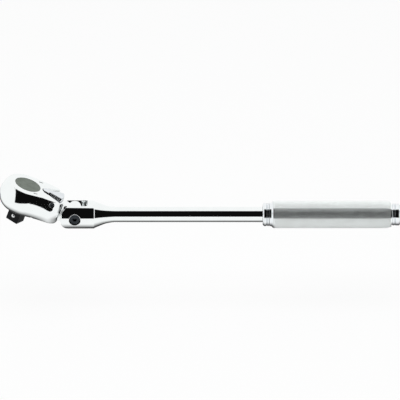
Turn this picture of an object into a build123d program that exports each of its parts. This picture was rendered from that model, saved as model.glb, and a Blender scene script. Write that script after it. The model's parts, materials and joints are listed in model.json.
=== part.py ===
from build123d import *
import math
import os

# Flex-head ratchet wrench, 3/8 inch square drive, 284 mm long when straight.
# The head is built level in its own frame: its origin is on the flex pivot,
# X runs towards the handle, Y is the pivot axis and Z is the drive axis.
# Every head piece is then tilted nose-up by rest_flex and both halves are
# moved so that the part's origin is the centre of the drive square's end.

# ---- driving dimensions, millimetres and degrees ----
rest_flex = 19.6            # nose-up tilt of the head at rest
drive_u = -38.6             # drive axis, measured from the flex pivot
head_top = 11.06
head_bottom = -7.0
nose_radius = 17.1          # widest radius of the head
belly_level = 1.0           # level of the widest section
upper_barrel = 20.0         # radius of the nose's wall above the belly
lower_barrel = 10.0         # radius of the nose's wall below the belly
neck_draft = 0.30           # slope of the side wall towards the neck, above the belly
neck_blend = 1.5            # height over which that slope sets in
neck_barrel = 14.5          # radius of the same wall below the belly
neck_side = (-19.5, 14.4)   # where the side turns into the neck's corner
neck_end = (-11.0, 5.2)     # where the corner meets the neck's end face
neck_heel = 2.4             # rounding under the neck's end
rim_round = 0.35
mark_places = [(-29.1, 9.7), (-32.7, -10.05)]      # engraved dashes beside the disc

square_side = 9.53
square_top = -7.6
square_end = -18.0
square_turn = -31.0
ball_radius = 1.6
ball_proud = 0.75
ball_level = -13.6

tooth_count = 36
tooth_tip = 10.9
tooth_root = 10.05
gear_cavity = 11.2
gear_low = -4.9
gear_high = 7.3
disc_radius = 9.25
disc_bore = 9.32
seal_circle = 8.84          # centre line of the seal ring
seal_wire = 0.4             # half its thickness
disc_low = 9.8
lower_journal = 8.42
running_gap = 0.06

plate_inner = -5.4
plate_holes = [(-22.0, 9.0), (-22.0, -9.0), (-17.8, 0.0)]

lever_u = -24.7
lever_throw = 7.0           # each side of the middle
lever_reach = 13.0
lever_half_angle = 29.6
lever_hub = 2.6
thumb_lip = 0.45            # what the thumb cuts leave of the lever's edge
thumb_face = 40.0           # how far they face upwards
rib_count = 7
rib_pitch = 1.2
rib_radius = 0.24
lever_low = 8.95
lever_high = 11.5
pocket_floor = 8.75
pocket_half_angle = 41.0
shaft_radius = 1.6
shaft_collar = 2.45
latch_level = 7.5           # level of the lever's detent ball
latch_turn = -67.0          # direction of its hole, from the lever's axis
latch_bore = 1.06
plug_radius = 1.85          # head of the plug that closes the hole
plug_seat = 12.6            # underside of that head, from the lever's axis
plug_face = 13.75
chamber_top = 5.6
pawl_low = -4.3
pawl_high = 3.4
pawl_inner = 11.05
pawl_outer = 14.0
pawl_half_angle = 50.0

yoke_radius = 9.85
yoke_nose = 10.1            # front end, about the pivot's axis
yoke_round = 13.4           # sphere about the pivot that takes off its corners
slot_half = 4.5
slot_end = 8.9
tang_half = 4.15
tang_radius = 8.6
tang_height = 6.2           # half height of the tang's root
pivot_radius = 3.0
pivot_head = 3.9
pivot_face = -7.85
mouth_round = 0.3           # at the mouth of the screw head's recess
shank_radius = 5.35
grip_start = 139.0
grip_end = 221.7
grip_radius = 9.6
butt_end = 227.9
brake_bore = 2.4

tilt = math.radians(rest_flex)
end_x = drive_u * math.cos(tilt) + square_end * math.sin(tilt)
end_z = -drive_u * math.sin(tilt) + square_end * math.cos(tilt)
pivot = Pos(-end_x, 0, -end_z)
head_place = pivot * Rot(0, rest_flex, 0)
drive_axis = Pos(drive_u, 0, 0)
lever_axis = Pos(lever_u, 0, 0)


def disc(radius, low, high):
    """Upright cylinder between two levels."""
    return Pos(0, 0, low) * extrude(Circle(radius), high - low)


def ring(inner, outer, low, high):
    return disc(outer, low, high) - disc(inner, low, high)


def turned(points):
    """Solid of revolution about X from an outline of (x, radius) points."""
    outline = Polyline(*[(x, 0, r) for x, r in points], close=True)
    return revolve(make_face(outline), Axis.X, 360)


def coil(radius, wire, low, high, turns):
    """Round-wire compression spring standing on Z."""
    height = high - low - wire
    helix = Helix(pitch=height / turns, height=height, radius=radius)
    start = helix @ 0
    section = Plane(origin=start, z_dir=helix % 0) * Circle(wire / 2)
    return Pos(0, 0, low + wire / 2) * sweep(section, path=helix)


# ---- head housing ----
def nose_inset(level):
    """How far the nose's wall stands inside the belly outline at a level."""
    radius = upper_barrel if level > belly_level else lower_barrel
    rise = level - belly_level
    return radius - math.sqrt(radius * radius - rise * rise)


def neck_inset(level):
    """The same where the side turns into the neck."""
    rise = level - belly_level
    if rise > 0:
        return neck_draft * (math.hypot(rise, neck_blend) - neck_blend)
    return neck_barrel - math.sqrt(neck_barrel * neck_barrel - rise * rise)


def head_outline(level):
    """Pear-shaped outline of the head at a level."""
    turn = math.radians(80)
    radius = nose_radius - nose_inset(level)
    side_u = drive_u + radius * math.cos(turn)
    side_v = radius * math.sin(turn)
    nose = (drive_u - radius, 0)
    corner = (neck_side[0], neck_side[1] - neck_inset(level))
    end = neck_end
    arc = ThreePointArc((side_u, -side_v), nose, (side_u, side_v))
    leave = (math.sin(turn), -math.cos(turn))
    upper = TangentArc((side_u, side_v), corner, tangent=leave)
    upper_end = TangentArc(corner, end, tangent=upper % 1)
    lower = mirror(upper, about=Plane.XZ)
    lower_end = mirror(upper_end, about=Plane.XZ)
    closing = Line(end, (end[0], -end[1]))
    return make_face(arc + upper + upper_end + closing + lower_end + lower)


def rim_edges(shell):
    """Edges round the top face and the bottom face, but not across the neck."""
    rim = []
    for edge in shell.edges():
        middle = edge.position_at(0.5)
        across = abs(middle.Y) < 1 and middle.X > neck_side[0]
        high = middle.Z > 9.4
        low = abs(middle.Z - head_bottom) < 0.01
        if (high or low) and not across:
            rim.append(edge)
    return rim


def head_shell():
    levels = [head_bottom, -5.2, -2.4, belly_level, 4.4, 7.8, head_top]
    shell = loft([Pos(0, 0, z) * head_outline(z) for z in levels])
    slope = Polyline((-28.0, 0, head_top), (-9, 0, 9.3), (-9, 0, 14), (-28.0, 0, 14), close=True)
    shell -= extrude(make_face(slope), 20, both=True)
    heel_u = neck_end[0] - neck_heel
    heel_z = head_bottom + neck_heel
    heel = Pos(heel_u + neck_heel, 0, head_bottom) * Box(2 * neck_heel, 40, 2 * neck_heel)
    shell -= heel - Pos(heel_u, 0, heel_z) * Rot(90, 0, 0) * disc(neck_heel, -20, 20)
    return fillet(rim_edges(shell), rim_round)


def fan(half_angle, hub, reach, low, high, axis):
    """Fan-shaped prism that opens towards +X from a round hub."""
    a = math.radians(half_angle)
    tip = (reach * math.cos(a), reach * math.sin(a))
    root = (-hub * math.sin(a), hub * math.cos(a))
    outline = (
        Line((root[0], root[1]), tip)
        + ThreePointArc(tip, (reach, 0), (tip[0], -tip[1]))
        + Line((tip[0], -tip[1]), (root[0], -root[1]))
        + ThreePointArc((root[0], -root[1]), (-hub, 0), (root[0], root[1]))
    )
    shape = extrude(make_face(outline), high - low)
    return axis * Pos(0, 0, low) * shape


def sector(inner, outer, half_angle, low, high):
    """Ring sector about the drive axis, facing the lever."""
    a = math.radians(half_angle)
    far = 2 * outer
    wedge = Polyline((0, 0), (far * math.cos(a), far * math.sin(a)),
                     (far * 2, 0), (far * math.cos(a), -far * math.sin(a)), close=True)
    wedge = Pos(0, 0, low) * extrude(make_face(wedge), high - low)
    return drive_axis * (ring(inner, outer, low, high) & wedge)


def plate_outline(grow):
    """Outline of the cover plate: a hull about the gear and the screws."""
    circles = [Pos(drive_u, 0) * Circle(12.0 + grow)]
    for u, v in plate_holes:
        circles.append(Pos(u, v) * Circle(2.2 + grow))
    edges = []
    for circle in circles:
        edges += circle.edges()
    return make_face(make_hull(edges))


def latch(shape):
    """Stands a shape built along +Z in the hole of the lever's detent ball."""
    return lever_axis * Pos(0, 0, latch_level) * Rot(0, 0, latch_turn) * Rot(0, 90, 0) * shape


def build_housing():
    body = head_shell()
    root = Pos(-9, 0, 0) * Box(18, 2 * tang_half, 2 * tang_height)
    knuckle = Rot(90, 0, 0) * disc(tang_radius, -tang_half, tang_half)
    body += root & (Pos(-9, 0, 0) * Box(18, 30, 30))
    body += knuckle
    body -= Rot(90, 0, 0) * disc(pivot_radius + 0.05, -10, 10)
    body -= drive_axis * disc(gear_cavity, head_bottom - 1, 7.6)
    body -= drive_axis * disc(disc_bore, 0, head_top + 1)
    body -= sector(gear_cavity - 1, 15.7, 57, head_bottom - 1, chamber_top)
    body -= lever_axis * disc(3.4, head_bottom - 1, chamber_top)
    body -= lever_axis * disc(shaft_collar + 0.05, 0, head_top)
    body -= fan(pocket_half_angle, 3.1, 22, pocket_floor, head_top + 3, lever_axis)
    body -= Pos(0, 0, head_bottom - 1) * extrude(plate_outline(0.05), plate_inner - head_bottom + 1)
    for u, v in plate_holes:
        body -= Pos(u, v, 0) * disc(0.87, plate_inner - 1, -1.7)
    body -= latch(disc(latch_bore, 0, 30))
    body -= latch(disc(plug_radius + 0.05, plug_seat, 30))
    for u, v in mark_places:
        body -= Pos(u, v, head_top - 0.3) * extrude(SlotOverall(3.0, 0.8), 2)
    return body


# ---- gear, square and what turns with them ----
def gear_face(grow):
    """Ratchet gear outline: symmetric pointed teeth, one gap on +X."""
    points = []
    pitch = 2 * math.pi / tooth_count
    for index in range(tooth_count):
        angle = index * pitch
        for radius, turn in ((tooth_root, angle), (tooth_tip, angle + pitch / 2)):
            points.append(((radius + grow) * math.cos(turn), (radius + grow) * math.sin(turn)))
    return make_face(Polyline(*points, close=True))


def ball_bar(radius, start, end):
    """Round bar along the drive ball's hole, measured from the drive axis."""
    bar = Pos(0, 0, start) * extrude(Circle(radius), end - start)
    return drive_axis * Pos(0, 0, ball_level) * Rot(0, 0, square_turn - 90) * Rot(0, 90, 0) * bar


def build_gear():
    gear = Pos(0, 0, gear_low) * extrude(gear_face(0), gear_high - gear_low)
    gear += disc(disc_radius, gear_high, disc_low)
    gear -= ring(seal_circle - seal_wire - 0.04, 12, 8.3, 9.2)
    gear -= disc(3.0, 5.5, 12)
    gear += disc(lower_journal, -7.2, gear_low)
    gear += disc(6.6, square_top, -7.2)
    post = Box(square_side, square_side, square_top - square_end + 1)
    post = fillet(post.edges().filter_by(Axis.Z), 0.5)
    post = chamfer(post.faces().sort_by(Axis.Z)[0].edges(), 0.45)
    gear += Rot(0, 0, square_turn) * Pos(0, 0, (square_top + 1 + square_end) / 2) * post
    gear = drive_axis * gear
    gear -= ball_bar(ball_radius + 0.05, -2.6, square_side / 2 - 0.12)
    gear -= ball_bar(1.47, 0, square_side)
    return gear


def build_spinner_disc():
    cap = disc(disc_radius, disc_low, head_top + 0.05)
    cap = chamfer(cap.faces().sort_by(Axis.Z)[-1].edges(), 0.25)
    cap += disc(3.0, 5.7, disc_low)
    return drive_axis * cap


def build_disc_seal():
    return drive_axis * Pos(0, 0, 8.75) * Torus(seal_circle, seal_wire)


def build_drive_ball():
    reach = square_side / 2 + ball_proud - ball_radius
    spot = Pos(0, 0, ball_level) * Rot(0, 0, square_turn - 90) * Pos(reach, 0, 0)
    return drive_axis * spot * Sphere(ball_radius)


def build_drive_ball_spring():
    reach = square_side / 2 + ball_proud - 2 * ball_radius - 0.05
    spring = coil(1.15, 0.35, -2.55, reach, 5)
    return drive_axis * Pos(0, 0, ball_level) * Rot(0, 0, square_turn - 90) * Rot(0, 90, 0) * spring


def build_thrust_washer():
    return drive_axis * ring(8.6, 10.8, plate_inner + 0.02, gear_low - 0.03)


# ---- cover plate ----
def build_cover_plate():
    plate = Pos(0, 0, head_bottom) * extrude(plate_outline(-0.05), plate_inner - head_bottom)
    plate -= drive_axis * disc(lower_journal + running_gap, head_bottom - 1, 0)
    for u, v in plate_holes:
        plate -= Pos(u, v, 0) * disc(1.15, head_bottom - 1, 0)
        plate -= Pos(u, v, head_bottom) * extrude(Circle(1.9), 0.9)
    return plate


def build_cover_screws():
    screws = []
    for u, v in plate_holes:
        screw = disc(1.8, head_bottom + 0.05, head_bottom + 0.9)
        screw += disc(0.85, head_bottom + 0.9, -1.9)
        screw -= Pos(0, 0, head_bottom - 0.4) * extrude(RegularPolygon(0.85, 6), 0.95)
        screws.append(Pos(u, v, 0) * screw)
    return Compound(screws)


# ---- reversing lever and pawl ----
def thumb_cut():
    """Sloping, ribbed cut along one edge of the lever's fan."""
    drop = lever_high - thumb_lip - lever_low
    run = drop * math.tan(math.radians(thumb_face))
    wedge = Polyline((0, 1, 0), (0, 1, drop), (0, -run, drop), (0, 0, 0), close=True)
    cut = Pos(3.4, 0, 0) * extrude(make_face(wedge), 12, dir=(1, 0, 0))
    slope = math.hypot(drop, run)
    for index in range(rib_count):
        rib = Cylinder(rib_radius, slope + 0.4)
        rib = Pos(4.6 + rib_pitch * index, -run / 2, drop / 2) * Rot(thumb_face, 0, 0) * rib
        cut += rib
    edge_turn = lever_half_angle - math.degrees(math.atan2(lever_hub, lever_reach))
    a = math.radians(lever_half_angle)
    root = Pos(-lever_hub * math.sin(a), lever_hub * math.cos(a), lever_low + thumb_lip)
    return root * Rot(0, 0, edge_turn) * cut


def build_lever():
    lever = fan(lever_half_angle, lever_hub, lever_reach, lever_low, lever_high, Pos())
    upright = lever.edges().filter_by(Axis.Z).sort_by(Axis.X)[-2:]
    lever = fillet(upright, 1.0)
    lever = fillet(lever.faces().sort_by(Axis.Z)[-1].edges(), 0.3)
    lever -= thumb_cut()
    lever -= mirror(thumb_cut(), about=Plane.XZ)
    lever += disc(lever_hub, lever_low, lever_high)
    lever += disc(shaft_collar, chamber_top + 0.1, lever_low)
    lever += disc(shaft_radius, -5.2, chamber_top + 0.1)
    lever -= ring(1.15, 3, -4.9, -4.4)
    for turn in (latch_turn + lever_throw, latch_turn - lever_throw):
        lever -= Pos(0, 0, latch_level) * Rot(0, 0, turn) * Pos(shaft_collar + 0.65, 0, 0) * Sphere(1.0)
    return lever_axis * Rot(0, 0, -lever_throw) * lever


def build_lever_clip():
    clip = ring(1.17, 2.5, -4.85, -4.45)
    clip -= Pos(2.0, 0, -4.65) * Box(4, 1.9, 2)
    return lever_axis * Rot(0, 0, -lever_throw) * clip


def build_pawl():
    blank = sector(pawl_inner, pawl_outer, pawl_half_angle, pawl_low, pawl_high)
    blank += lever_axis * disc(3.0, pawl_low, pawl_high) - drive_axis * disc(pawl_inner, -9, 9)
    blank -= lever_axis * disc(shaft_radius + 0.05, -9, 9)
    cutter = drive_axis * Pos(0, 0, -9) * extrude(gear_face(0.1), 18)
    turned_to = lever_axis * Rot(0, 0, lever_throw) * lever_axis.inverse()
    for swing in (turned_to, turned_to.inverse()):
        blank = swing.inverse() * (swing * blank - cutter)
    return turned_to.inverse() * blank


def build_pawl_spring():
    spring = coil(2.4, 0.6, pawl_high + 0.05, chamber_top - 0.15, 3)
    return lever_axis * spring


def build_lever_ball():
    return latch(Pos(0, 0, shaft_collar + 1.05) * Sphere(1.0))


def build_lever_ball_spring():
    return latch(coil(0.72, 0.3, shaft_collar + 2.1, 9.6, 6))


def build_detent_plug():
    head = disc(plug_radius, plug_seat, plug_face)
    head = fillet(head.faces().sort_by(Axis.Z)[-1].edges(), 0.45)
    head -= Pos(0, 0, plug_face - 0.6) * extrude(RegularPolygon(0.8, 6), 2)
    return latch(head + disc(latch_bore, 9.65, plug_seat))


# ---- handle ----
def mouth_edges(bar):
    """Edges where the pivot screw's counterbore meets the outside of the yoke."""
    mouth = []
    for edge in bar.edges():
        spot = edge.position_at(0.3)
        on_wall = abs(math.hypot(spot.X, spot.Z) - pivot_head - 0.1) < 0.01
        if on_wall and spot.Y < -7:
            mouth.append(edge)
    return mouth


def build_handle_bar():
    outline = (
        Line((-12.0, 0, 0), (-12.0, 0, yoke_radius))
        + Line((-12.0, 0, yoke_radius), (13.0, 0, yoke_radius))
        + TangentArc((13.0, 0, yoke_radius), (13.9, 0, 9.4), tangent=(1, 0, 0))
        + Line((13.9, 0, 9.4), (17.9, 0, 7.75))
        + ThreePointArc((17.9, 0, 7.75), (22.3, 0, 6.2), (28.0, 0, shank_radius))
        + Line((28.0, 0, shank_radius), (grip_end, 0, shank_radius))
        + Line((grip_end, 0, shank_radius), (grip_end, 0, 4.0))
        + Line((grip_end, 0, 4.0), (226.0, 0, 4.0))
        + Line((226.0, 0, 4.0), (226.0, 0, 0))
        + Line((226.0, 0, 0), (-12.0, 0, 0))
    )
    bar = revolve(make_face(outline), Axis.X, 360)
    front = Pos(-6.5, 0, 0) * Box(13, 30, 30)
    bar -= front - Rot(90, 0, 0) * disc(yoke_nose, -15, 15)
    bar -= front - Sphere(yoke_round)
    slot = Pos((slot_end - 20) / 2, 0, 0) * Box(slot_end + 20, 2 * slot_half, 30)
    slot = fillet(slot.edges().filter_by(Axis.Z).sort_by(Axis.X)[-2:], 1.2)
    bar -= slot
    bar -= Pos(slot_end - 1, 0, 0) * Rot(0, 90, 0) * disc(brake_bore, 0, 15)
    bar -= Rot(90, 0, 0) * disc(pivot_radius + 0.02, -4, 12)
    bar -= Rot(90, 0, 0) * disc(2.5, -12, 0)
    bar -= Rot(90, 0, 0) * disc(pivot_head + 0.1, 5.45, 12)
    return fillet(mouth_edges(bar), mouth_round)


def build_pivot_screw():
    screw = disc(pivot_head, 5.45, -pivot_face)
    screw = chamfer(screw.faces().sort_by(Axis.Z)[-1].edges(), 0.3)
    screw += disc(pivot_radius, -slot_half, 5.45)
    screw += disc(2.5, -8.4, -slot_half)
    screw -= Pos(0, 0, -pivot_face - 1.9) * extrude(RegularPolygon(1.75, 6), 3)
    return Rot(90, 0, 0) * screw


def build_flex_washers():
    washers = []
    for low in (tang_half + 0.02, -slot_half + 0.02):
        washers.append(Rot(90, 0, 0) * ring(pivot_radius + 0.1, 6.4, low, low + 0.31))
    return Compound(washers)


def build_brake_plunger():
    plunger = disc(brake_bore - 0.05, tang_radius + 0.05, 14.5)
    plunger = fillet(plunger.faces().sort_by(Axis.Z)[0].edges(), 0.8)
    return Rot(0, 90, 0) * plunger


def build_brake_spring():
    return Rot(0, 90, 0) * coil(1.85, 0.7, 14.55, 22.8, 4)


def build_front_ferrule():
    points = [(131.7, 5.37), (131.7, 7.3), (132.6, 8.15), (134.2, 8.15), (134.6, 7.4), (135.0, 8.15),
              (135.8, 8.15), (136.15, 7.4), (136.5, 8.2), (137.7, 8.2),
              (grip_start - 0.05, 9.5), (grip_start - 0.05, 5.37)]
    return turned(points)


def build_grip_sleeve():
    points = [(grip_start, 5.37), (grip_start, 9.3), (grip_start + 0.3, grip_radius), (218.4, grip_radius),
              (grip_end, 8.7), (grip_end, 5.37)]
    return turned(points)


def build_butt_cap():
    points = [(grip_end + 0.02, 4.02), (grip_end + 0.02, 7.2), (222.4, 7.2), (222.7, 7.7), (223.9, 7.7),
              (224.3, 7.0), (224.7, 7.7), (226.9, 7.7), (227.3, 7.5), (227.7, 7.1),
              (butt_end, 6.5), (butt_end, 0), (226.1, 0), (226.1, 4.02)]
    return turned(points)


head_nodes = {
    "head_housing": build_housing,
    "drive_gear": build_gear,
    "spinner_disc": build_spinner_disc,
    "disc_seal": build_disc_seal,
    "drive_ball": build_drive_ball,
    "drive_ball_spring": build_drive_ball_spring,
    "thrust_washer": build_thrust_washer,
    "cover_plate": build_cover_plate,
    "cover_screws": build_cover_screws,
    "reversing_lever": build_lever,
    "lever_clip": build_lever_clip,
    "pawl": build_pawl,
    "pawl_spring": build_pawl_spring,
    "lever_ball": build_lever_ball,
    "lever_ball_spring": build_lever_ball_spring,
    "detent_plug": build_detent_plug,
}
handle_nodes = {
    "handle_bar": build_handle_bar,
    "pivot_screw": build_pivot_screw,
    "flex_washers": build_flex_washers,
    "brake_plunger": build_brake_plunger,
    "brake_spring": build_brake_spring,
    "front_ferrule": build_front_ferrule,
    "grip_sleeve": build_grip_sleeve,
    "butt_cap": build_butt_cap,
}

os.makedirs("parts", exist_ok=True)
for node, build in head_nodes.items():
    export_step(head_place * build(), f"parts/{node}.step")
for node, build in handle_nodes.items():
    export_step(pivot * build(), f"parts/{node}.step")
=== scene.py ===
import json
import math

import bpy
from mathutils import Matrix, Vector

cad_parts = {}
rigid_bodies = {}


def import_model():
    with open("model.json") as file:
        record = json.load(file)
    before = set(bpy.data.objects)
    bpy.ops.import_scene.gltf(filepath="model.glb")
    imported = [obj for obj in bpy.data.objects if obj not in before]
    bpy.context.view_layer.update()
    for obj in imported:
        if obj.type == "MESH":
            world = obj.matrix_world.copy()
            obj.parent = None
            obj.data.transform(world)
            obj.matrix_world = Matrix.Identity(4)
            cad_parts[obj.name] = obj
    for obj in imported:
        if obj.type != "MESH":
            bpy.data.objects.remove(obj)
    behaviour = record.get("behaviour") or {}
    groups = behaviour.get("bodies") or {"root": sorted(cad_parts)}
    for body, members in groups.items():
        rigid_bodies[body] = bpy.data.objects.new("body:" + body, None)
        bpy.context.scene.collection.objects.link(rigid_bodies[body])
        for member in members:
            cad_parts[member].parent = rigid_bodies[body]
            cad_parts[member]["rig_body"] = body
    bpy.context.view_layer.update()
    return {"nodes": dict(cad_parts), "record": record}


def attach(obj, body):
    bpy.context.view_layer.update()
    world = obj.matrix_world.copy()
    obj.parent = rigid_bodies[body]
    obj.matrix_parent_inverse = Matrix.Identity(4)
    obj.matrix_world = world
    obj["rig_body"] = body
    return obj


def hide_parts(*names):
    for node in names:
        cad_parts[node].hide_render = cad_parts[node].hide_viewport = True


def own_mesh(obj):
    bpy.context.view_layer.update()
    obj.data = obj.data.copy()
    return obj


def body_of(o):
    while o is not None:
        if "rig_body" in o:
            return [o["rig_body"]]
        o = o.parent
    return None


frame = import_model()
nodes = frame["nodes"]

# ---- where things are: metres in the row frame ----
MM = 0.001
TILT = math.radians(19.6)
PIVOT = Vector((0.0424015, 0.0, 0.0040086))
HEAD = Matrix.Translation(PIVOT) @ Matrix.Rotation(TILT, 4, "Y")
HANDLE = Matrix.Translation(PIVOT)
FLOOR_Z = -0.062            # clear of the head at its lowest pose

# ---- and millimetres from the pivot, along the head's or the handle's own axes ----
DRIVE_U = -38.6             # the drive axis, along the head
HEAD_TOP = 11.06
MARKS = ((-29.1, 9.7), (-32.7, -10.05))
MARK_HALF = 1.08            # from a dash's middle to the centre of a round end
MARK_RADIUS = 0.36
SHADE_FILL_DEPTHS = (0.29, 0.14)     # floor and top of the dark fill, below the head's top
GRIP_START = 139.0
GRIP_TAPER = 218.4          # from here the sleeve narrows to its end
GRIP_END = 221.7
GRIP_RADIUS = 9.6
END_DROP = 0.9              # how much smaller the radius is at GRIP_END
GRIP_BORE = 5.4
CORE_RADIUS = 9.25          # plain sleeve under the knurl
CORE_RIM = 9.58             # plain rims that close the knurl's two ends
KNURL_AROUND = 40           # pyramids round the grip
KNURL_PITCH = 1.5           # about the length of one pyramid along the grip
KNURL_DEPTH = 0.32          # from a pyramid's flat top to the groove crossings
KNURL_FLANK = 0.36          # share of a pyramid's half width that slopes

scene = bpy.context.scene
scene.view_settings.view_transform = "Standard"


# ---- node tree helpers ----
class Shader:
    """Builds one material's nodes: add() makes a node and fills its sockets."""

    def __init__(self, name):
        self.material = bpy.data.materials.new(name)
        self.material.use_nodes = True
        self.tree = self.material.node_tree
        self.tree.nodes.clear()
        self.coords = self.add("ShaderNodeTexCoord").outputs["Object"]

    def add(self, kind, props=None, **sockets):
        node = self.tree.nodes.new(kind)
        for key, value in (props or {}).items():
            setattr(node, key, value)
        for key, value in sockets.items():
            self.put(node.inputs[key.replace("_", " ")], value)
        return node

    def put(self, socket, value):
        if isinstance(value, bpy.types.NodeSocket):
            self.tree.links.new(value, socket)
        else:
            socket.default_value = value

    def math(self, operation, a, b=0.0, clamp=False):
        node = self.add("ShaderNodeMath", {"operation": operation, "use_clamp": clamp})
        self.put(node.inputs[0], a)
        self.put(node.inputs[1], b)
        return node.outputs[0]

    def span(self, value, low, high, to_low=0.0, to_high=1.0):
        """Maps a value from one range to another, held at the ends."""
        node = self.add("ShaderNodeMapRange")
        for key, number in zip(("Value", "From Min", "From Max", "To Min", "To Max"),
                               (value, low, high, to_low, to_high)):
            self.put(node.inputs[key], number)
        return node.outputs[0]

    def noise(self, scale, detail=4.0, stretch=(1, 1, 1), roughness=0.55):
        mapping = self.add("ShaderNodeMapping", Vector=self.coords, Scale=stretch)
        node = self.add("ShaderNodeTexNoise", Vector=mapping.outputs[0], Scale=scale,
                        Detail=detail, Roughness=roughness)
        return node.outputs["Fac"]

    def blend(self, factor, a, b):
        node = self.add("ShaderNodeMix", {"data_type": "RGBA"})
        self.put(node.inputs["Factor"], factor)
        self.put(node.inputs["A"], a)
        self.put(node.inputs["B"], b)
        return node.outputs["Result"]

    def edges(self, radius, low=0.004, high=0.10):
        """1 on sharp edges and 0 on open surfaces."""
        soft = self.add("ShaderNodeBevel", {"samples": 6}, Radius=radius)
        true = self.add("ShaderNodeNewGeometry").outputs["Normal"]
        dot = self.add("ShaderNodeVectorMath", {"operation": "DOT_PRODUCT"})
        self.put(dot.inputs[0], soft.outputs[0])
        self.put(dot.inputs[1], true)
        return self.span(self.math("SUBTRACT", 1.0, dot.outputs["Value"]), low, high)

    def crevice(self, distance, low, high):
        """1 deep in gaps and grooves and 0 on open surfaces."""
        node = self.add("ShaderNodeAmbientOcclusion", {"samples": 8}, Distance=distance)
        return self.span(node.outputs["AO"], low, high, 1.0, 0.0)

    def bump(self, height, strength, distance, normal=None):
        node = self.add("ShaderNodeBump", Height=height, Strength=strength, Distance=distance)
        if normal is not None:
            self.put(node.inputs["Normal"], normal)
        return node.outputs[0]

    def surface(self, color, roughness, normal=None, metallic=1.0, **more):
        bsdf = self.add("ShaderNodeBsdfPrincipled", Metallic=metallic, **more)
        self.put(bsdf.inputs["Base Color"], color)
        self.put(bsdf.inputs["Roughness"], roughness)
        if normal is not None:
            self.put(bsdf.inputs["Normal"], normal)
        out = self.add("ShaderNodeOutputMaterial")
        self.tree.links.new(bsdf.outputs[0], out.inputs[0])
        return self.material


def metal(name, base, dark, rough, rough_far, bump=0.02, grain=(1, 1, 1), edge=0.0002,
          edge_color=None, round_edges=0.00022, speck=0.25, metallic=1.0, crevice_shade=(0.0012, 0.30, 0.75)):
    """Metal with cloudy roughness, polishing grain, specks, worn edges and painted shade in its
    crevices.
    """
    m = Shader(name)
    cloud = m.noise(140.0, 5.0)
    fine = m.noise(2600.0, 3.0, grain)
    speckle = m.span(m.noise(5200.0, 1.0), 0.66, 0.74)
    worn = m.math("MULTIPLY", m.edges(edge), m.span(m.noise(900.0), 0.35, 0.6))
    color = m.blend(m.span(cloud, 0.35, 0.7), base, dark)
    color = m.blend(m.math("MULTIPLY", speckle, speck), color, dark)
    color = m.blend(worn, color, edge_color or base)
    # painted shade: the colour is darkened towards near-black deep in gaps and grooves
    color = m.blend(m.crevice(*crevice_shade), color, (0.035, 0.037, 0.038, 1))
    roughness = m.span(m.math("ADD", m.math("MULTIPLY", cloud, 0.7), m.math("MULTIPLY", fine, 0.3)),
                       0.35, 0.65, rough, rough_far)
    roughness = m.math("ADD", roughness, m.math("MULTIPLY", speckle, 0.12))
    soft = m.add("ShaderNodeBevel", {"samples": 6}, Radius=round_edges).outputs[0]
    normal = m.bump(fine, bump, 0.00004, soft)
    return m.surface(color, roughness, normal, metallic=metallic)


# every metal below paints shade into its gaps; the crevice numbers give the AO distance and the mask's
# range
CHROME = metal("polished_chrome", (0.925, 0.94, 0.94, 1), (0.90, 0.915, 0.915, 1), 0.03, 0.065, 0.03)
LEVER = metal("lever_chrome", (0.80, 0.82, 0.85, 1), (0.74, 0.76, 0.79, 1), 0.06, 0.12, 0.05)
FERRULE = metal("ferrule_chrome", (0.88, 0.895, 0.91, 1), (0.83, 0.85, 0.87, 1), 0.08, 0.15, 0.05,
                grain=(0.05, 1, 1), round_edges=0.00006, crevice_shade=(0.0008, 0.02, 0.25))
DRIVE = metal("dark_phosphate", (0.020, 0.020, 0.021, 1), (0.011, 0.011, 0.012, 1), 0.28, 0.46, 0.35,
              edge_color=(0.20, 0.20, 0.21, 1), edge=0.00025)
OXIDE = metal("black_oxide", (0.040, 0.046, 0.052, 1), (0.024, 0.028, 0.032, 1), 0.22, 0.36, 0.2,
              edge_color=(0.26, 0.27, 0.28, 1))
PLATE = metal("satin_plate", (0.60, 0.61, 0.62, 1), (0.50, 0.51, 0.52, 1), 0.24, 0.36, 0.2,
              grain=(0.04, 1, 1))
BRIGHT = metal("bright_steel", (0.80, 0.80, 0.80, 1), (0.72, 0.72, 0.73, 1), 0.06, 0.14, 0.05)
HARD = metal("hardened_steel", (0.36, 0.36, 0.37, 1), (0.25, 0.25, 0.26, 1), 0.25, 0.42, 0.3)
SPRING = metal("spring_steel", (0.46, 0.46, 0.46, 1), (0.34, 0.34, 0.33, 1), 0.22, 0.36, 0.2)
KNURL = metal("knurled_satin", (0.97, 0.995, 0.99, 1), (0.92, 0.94, 0.935, 1), 0.09, 0.17, 0.10,
              edge_color=(0.97, 0.98, 0.98, 1), edge=0.00008, round_edges=0.00003, metallic=0.84,
              crevice_shade=(0.00045, 0.05, 0.55))


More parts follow.
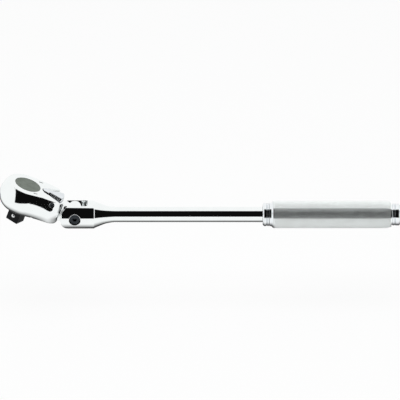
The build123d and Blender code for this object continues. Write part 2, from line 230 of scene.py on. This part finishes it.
def turned_disc():
    """Matte grey disc, fine-turned in rings about the drive axis."""
    m = Shader("matte_disc")
    spot = m.add("ShaderNodeMapping", {"vector_type": "POINT"}, Vector=m.coords)
    place = (HEAD @ Matrix.Translation((DRIVE_U * MM, 0, 0))).inverted()
    spot.inputs["Location"].default_value = place.to_translation()
    spot.inputs["Rotation"].default_value = place.to_euler()
    split = m.add("ShaderNodeSeparateXYZ", Vector=spot.outputs[0])
    flat = m.add("ShaderNodeCombineXYZ", X=split.outputs[0], Y=split.outputs[1])
    length = m.add("ShaderNodeVectorMath", {"operation": "LENGTH"})
    m.put(length.inputs[0], flat.outputs[0])
    radius = length.outputs["Value"]
    rings = m.math("SINE", m.math("MULTIPLY", radius, 2 * math.pi / 0.00022))
    cloud = m.noise(260.0, 5.0)
    color = m.blend(m.span(cloud, 0.3, 0.7), (0.178, 0.203, 0.172, 1), (0.150, 0.172, 0.145, 1))
    color = m.blend(m.span(rings, 0.2, 1.0, 0.0, 0.6), color, (0.115, 0.132, 0.11, 1))
    worn = m.math("MULTIPLY", m.edges(0.0002), m.span(m.noise(900.0), 0.35, 0.6))
    color = m.blend(worn, color, (0.50, 0.50, 0.49, 1))
    height = m.math("ADD", m.math("MULTIPLY", rings, 0.5), m.noise(3800.0, 2.0))
    normal = m.bump(height, 0.12, 0.00003)
    return m.surface(color, m.span(cloud, 0.3, 0.7, 0.42, 0.56), normal, metallic=0.55)


def rubber():
    m = Shader("seal_rubber")
    grain = m.noise(3000.0, 4.0)
    color = m.blend(m.span(grain, 0.4, 0.6), (0.012, 0.012, 0.013, 1), (0.022, 0.022, 0.023, 1))
    normal = m.bump(grain, 0.3, 0.00005)
    return m.surface(color, m.span(grain, 0.4, 0.6, 0.5, 0.7), normal, metallic=0.0)


DISC = turned_disc()
RUBBER = rubber()

MATERIALS = {"polished_chrome": CHROME, "lever_chrome": LEVER, "ferrule_chrome": FERRULE,
             "knurled_satin": KNURL, "matte_disc": DISC, "dark_phosphate": DRIVE,
             "black_oxide": OXIDE, "satin_plate": PLATE, "bright_steel": BRIGHT,
             "hardened_steel": HARD, "spring_steel": SPRING, "seal_rubber": RUBBER}


def dress(obj, slot):
    obj.data.materials.clear()
    obj.data.materials.append(MATERIALS[slot])


for part in frame["record"]["subparts"]:
    dress(nodes[part["node"]], part["material_slot"])


def mesh_piece(name, verts, faces, place, body, slot):
    """A new piece from points in millimetres, placed in the row frame."""
    mesh = bpy.data.meshes.new(name)
    points = [place @ Vector((x * MM, y * MM, z * MM)) for x, y, z in verts]
    mesh.from_pydata(points, [], faces)
    mesh.validate()
    mesh.update()
    obj = bpy.data.objects.new(name, mesh)
    scene.collection.objects.link(obj)
    for polygon in mesh.polygons:
        polygon.use_smooth = False
    dress(obj, slot)
    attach(obj, body)
    return obj


# ---- knurled sleeve: truncated diamond pyramids round the grip ----
def taper(x):
    """How much smaller the sleeve is at x than along its straight part."""
    return END_DROP * max(0.0, x - GRIP_TAPER) / (GRIP_END - GRIP_TAPER)


def knurl_sleeve():
    """Pyramids' points and faces, and where the knurl starts and ends."""
    around = KNURL_AROUND
    start, end = GRIP_START + 0.9, GRIP_END - 0.5
    rows = 2 * round((end - start) / KNURL_PITCH)
    step = (end - start) / rows
    top = 1 - KNURL_FLANK
    verts, faces = [], []

    def point(x, turn, radius):
        angle = 2 * math.pi * turn / around
        radius -= taper(x)
        verts.append((x, radius * math.sin(angle), radius * math.cos(angle)))
        return len(verts) - 1

    corner = {}
    for row in range(rows + 1):
        for column in range(around):
            turn = column + (0.5 if row % 2 else 0.0)
            corner[row, column] = point(start + row * step, turn, GRIP_RADIUS - KNURL_DEPTH)

    def at(row, half_turns):
        """Groove crossing on a row, at a whole number of half pitches."""
        return corner[row, ((half_turns - (row % 2)) // 2) % around]

    for row in range(rows + 1):
        for column in range(around):
            half = 2 * column + (1 if (row + 1) % 2 else 0)
            middle_x = start + row * step
            tops = []
            for dx, dt in ((-step, 0), (0, 0.5), (step, 0), (0, -0.5)):
                x = middle_x + dx * top
                if x < start or x > end:
                    x = middle_x
                tops.append(point(x, half / 2 + dt * top, GRIP_RADIUS))
            left = at(row - 1, half) if row > 0 else None
            right = at(row + 1, half) if row < rows else None
            up, down = at(row, half + 1), at(row, half - 1)
            if left is not None:
                faces.append((left, tops[0], tops[1], up))
                faces.append((left, down, tops[3], tops[0]))
            if right is not None:
                faces.append((up, tops[1], tops[2], right))
                faces.append((right, tops[2], tops[3], down))
            if left is None or right is None:
                keep = [t for i, t in enumerate(tops) if (left is None and i != 0)
                        or (right is None and i != 2)]
                faces.append(tuple(keep))
                if left is None:
                    faces.append((tops[1], up, down, tops[3]))
                else:
                    faces.append((up, tops[1], tops[3], down))
            else:
                faces.append(tuple(tops))
    return verts, faces, start, end


def lathe(profile, segments):
    """Open band of revolution about X from (x, radius) points."""
    verts, faces = [], []
    for x, radius in profile:
        for index in range(segments):
            angle = 2 * math.pi * index / segments
            verts.append((x, radius * math.sin(angle), radius * math.cos(angle)))
    for row in range(len(profile) - 1):
        for index in range(segments):
            after = (index + 1) % segments
            faces.append((row * segments + index, row * segments + after,
                          (row + 1) * segments + after, (row + 1) * segments + index))
    return verts, faces


knurl_verts, knurl_faces, knurl_start, knurl_end = knurl_sleeve()
knurl = mesh_piece("grip_knurl", knurl_verts, knurl_faces, HANDLE, "handle", "knurled_satin")
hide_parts("grip_sleeve")
core_profile = [(GRIP_START, GRIP_BORE), (GRIP_START, 9.3), (GRIP_START + 0.25, 9.55),
                (knurl_start, CORE_RIM), (knurl_start + 0.05, CORE_RADIUS),
                (GRIP_TAPER, CORE_RADIUS), (knurl_end - 0.05, CORE_RADIUS - taper(knurl_end)),
                (knurl_end, CORE_RIM - taper(knurl_end)), (GRIP_END, 8.7), (GRIP_END, GRIP_BORE)]
mesh_piece("grip_core", *lathe(core_profile, 176), HANDLE, "handle", "knurled_satin")


# ---- painted shade: a dark fill in the two engraved dashes ----
def shade_fill():
    verts, faces = [], []
    for u, v in MARKS:
        first, count = len(verts), 24
        for depth in SHADE_FILL_DEPTHS:
            for index in range(count):
                turn = 2 * math.pi * (index + 0.5) / count
                shift = math.copysign(MARK_HALF, math.cos(turn))
                verts.append((u + shift + MARK_RADIUS * math.cos(turn),
                              v + MARK_RADIUS * math.sin(turn), HEAD_TOP - depth))
        for index in range(count):
            after = (index + 1) % count
            faces.append((first + index, first + after, first + count + after, first + count + index))
        faces.append(tuple(first + count + index for index in range(count)))
        faces.append(tuple(first + index for index in reversed(range(count))))
    return verts, faces


# the dark fill stands in for the shade inside the dashes
mesh_piece("mark_shade_fill", *shade_fill(), HEAD, body_of(nodes["head_housing"])[0], "seal_rubber")


# ---- the two ball springs, as copies of their CAD nodes ----
def ball_spring(node):
    """Stands for a spring's CAD node with a copy of its mesh on the same body."""
    source = nodes[node]
    obj = bpy.data.objects.new(node + "_live", source.data.copy())
    obj.matrix_world = source.matrix_world.copy()
    scene.collection.objects.link(obj)
    dress(obj, "spring_steel")
    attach(obj, body_of(source)[0])
    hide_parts(node)
    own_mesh(obj)


ball_spring("drive_ball_spring")
ball_spring("lever_ball_spring")


# ---- floor, camera and light ----
def pale_floor():
    mesh = bpy.data.meshes.new("floor")
    r = 3.0
    mesh.from_pydata([(-r, -r, FLOOR_Z), (r, -r, FLOOR_Z), (r, r, FLOOR_Z), (-r, r, FLOOR_Z)], [],
                     [(0, 1, 2, 3)])
    floor = bpy.data.objects.new("floor", mesh)
    scene.collection.objects.link(floor)
    m = Shader("floor_paper")
    tone = m.blend(m.noise(30.0), (0.90, 0.90, 0.90, 1), (0.88, 0.88, 0.885, 1))
    mesh.materials.append(m.surface(tone, m.span(m.noise(300.0), 0.4, 0.6, 0.75, 0.9), metallic=0.0))
    glow = m.add("ShaderNodeEmission", Color=(1.0, 1.0, 1.0, 1), Strength=1.0)
    seen = m.math("MULTIPLY", m.add("ShaderNodeLightPath").outputs["Is Camera Ray"], 0.86)
    mix = m.add("ShaderNodeMixShader")
    out = m.tree.get_output_node("ALL")
    m.tree.links.new(seen, mix.inputs[0])
    m.tree.links.new(out.inputs[0].links[0].from_socket, mix.inputs[1])
    m.tree.links.new(glow.outputs[0], mix.inputs[2])
    m.tree.links.new(mix.outputs[0], out.inputs[0])
    floor.visible_glossy = False


def studio_world():
    """White room; its camera side is a black drape that only the metal sees."""
    world = bpy.data.worlds.new("studio")
    scene.world = world
    world.use_nodes = True
    tree = world.node_tree
    tree.nodes.clear()

    def add(kind, **props):
        node = tree.nodes.new(kind)
        for key, value in props.items():
            setattr(node, key, value)
        return node

    def calc(operation, a, b=0.0, clamp=False):
        node = add("ShaderNodeMath", operation=operation, use_clamp=clamp)
        for socket, value in zip(node.inputs, (a, b)):
            if isinstance(value, bpy.types.NodeSocket):
                tree.links.new(value, socket)
            else:
                socket.default_value = value
        return node.outputs[0]

    def step(value, edge, width):
        """0 below the edge and 1 above it, with a soft border."""
        return calc("ADD", calc("MULTIPLY", calc("SUBTRACT", value, edge), 1 / width), 0.5, clamp=True)

    drape_left, drape_right = math.radians(-38), math.radians(54)
    drape_foot, drape_top = math.radians(-8), math.radians(80)
    shade_middle, shade_end = math.radians(84), math.radians(158)
    shade_side = math.radians(38)

    # the drape: how far a reflection goes sideways, and how far it rises
    coords = add("ShaderNodeTexCoord")
    split = add("ShaderNodeSeparateXYZ")
    tree.links.new(coords.outputs["Generated"], split.inputs[0])
    x, y, z = split.outputs
    across = calc("ARCSINE", x)
    dark = calc("SUBTRACT", 1.0, step(across, drape_right, 0.05))
    dark = calc("MULTIPLY", dark, step(across, drape_left, 0.05))
    rise = calc("ARCTAN2", z, calc("MULTIPLY", y, -1.0))
    dark = calc("MULTIPLY", dark, calc("SUBTRACT", 1.0, step(rise, drape_top, 0.04)))
    lower = calc("ADD", rise, calc("MULTIPLY", calc("MAXIMUM", across, -0.1), 0.12))
    dark = calc("MULTIPLY", dark, step(lower, drape_foot, 0.03))
    light = calc("SUBTRACT", 1.0, calc("MULTIPLY", dark, 0.996))

    # the room darkens below, which shades the lower edges of the metal
    fall = calc("MULTIPLY", rise, -1.0)
    under = calc("MULTIPLY", step(fall, shade_middle, 0.85),
                 calc("SUBTRACT", 1.0, step(fall, shade_end, 0.06)))
    wide = step(calc("ABSOLUTE", across), shade_side, 0.45)
    under = calc("MULTIPLY", under, calc("SUBTRACT", 1.0, wide))
    light = calc("MULTIPLY", light, calc("SUBTRACT", 1.0, calc("MULTIPLY", under, 0.94)))
    camera_ray = add("ShaderNodeLightPath").outputs["Is Camera Ray"]
    light = calc("MAXIMUM", light, camera_ray)
    background = add("ShaderNodeBackground")
    background.inputs["Color"].default_value = (0.985, 1.0, 0.997, 1)
    tree.links.new(light, background.inputs["Strength"])
    out = add("ShaderNodeOutputWorld")
    tree.links.new(background.outputs[0], out.inputs[0])


def softbox(name, place, target, size, power):
    """Area light that lights matte surfaces but is not mirrored in the metal."""
    data = bpy.data.lights.new(name, "AREA")
    data.shape = "RECTANGLE"
    data.size, data.size_y = size
    data.energy = power
    lamp = bpy.data.objects.new(name, data)
    scene.collection.objects.link(lamp)
    lamp.location = place
    lamp.rotation_euler = (Vector(target) - Vector(place)).to_track_quat("-Z", "Y").to_euler()
    lamp.visible_glossy = False
    lamp.visible_camera = False


def photo_camera():
    data = bpy.data.cameras.new("camera")
    data.lens = 500.0
    data.sensor_width = 36.0
    camera = bpy.data.objects.new("camera", data)
    scene.collection.objects.link(camera)
    elevation = math.radians(26.8)
    distance = 3.895
    target = Vector((0.1301, 0.00457, 0.01305))
    back = Vector((0, -math.cos(elevation), math.sin(elevation)))
    camera.location = target + back * distance
    camera.rotation_mode = "QUATERNION"
    camera.rotation_quaternion = (-back).to_track_quat("-Z", "Y")
    data.clip_start, data.clip_end = 0.05, 20.0
    scene.camera = camera


pale_floor()
studio_world()
softbox("key", (0.1, -0.15, 0.9), (0.13, 0, 0), (0.9, 0.7), 4.2)
photo_camera()
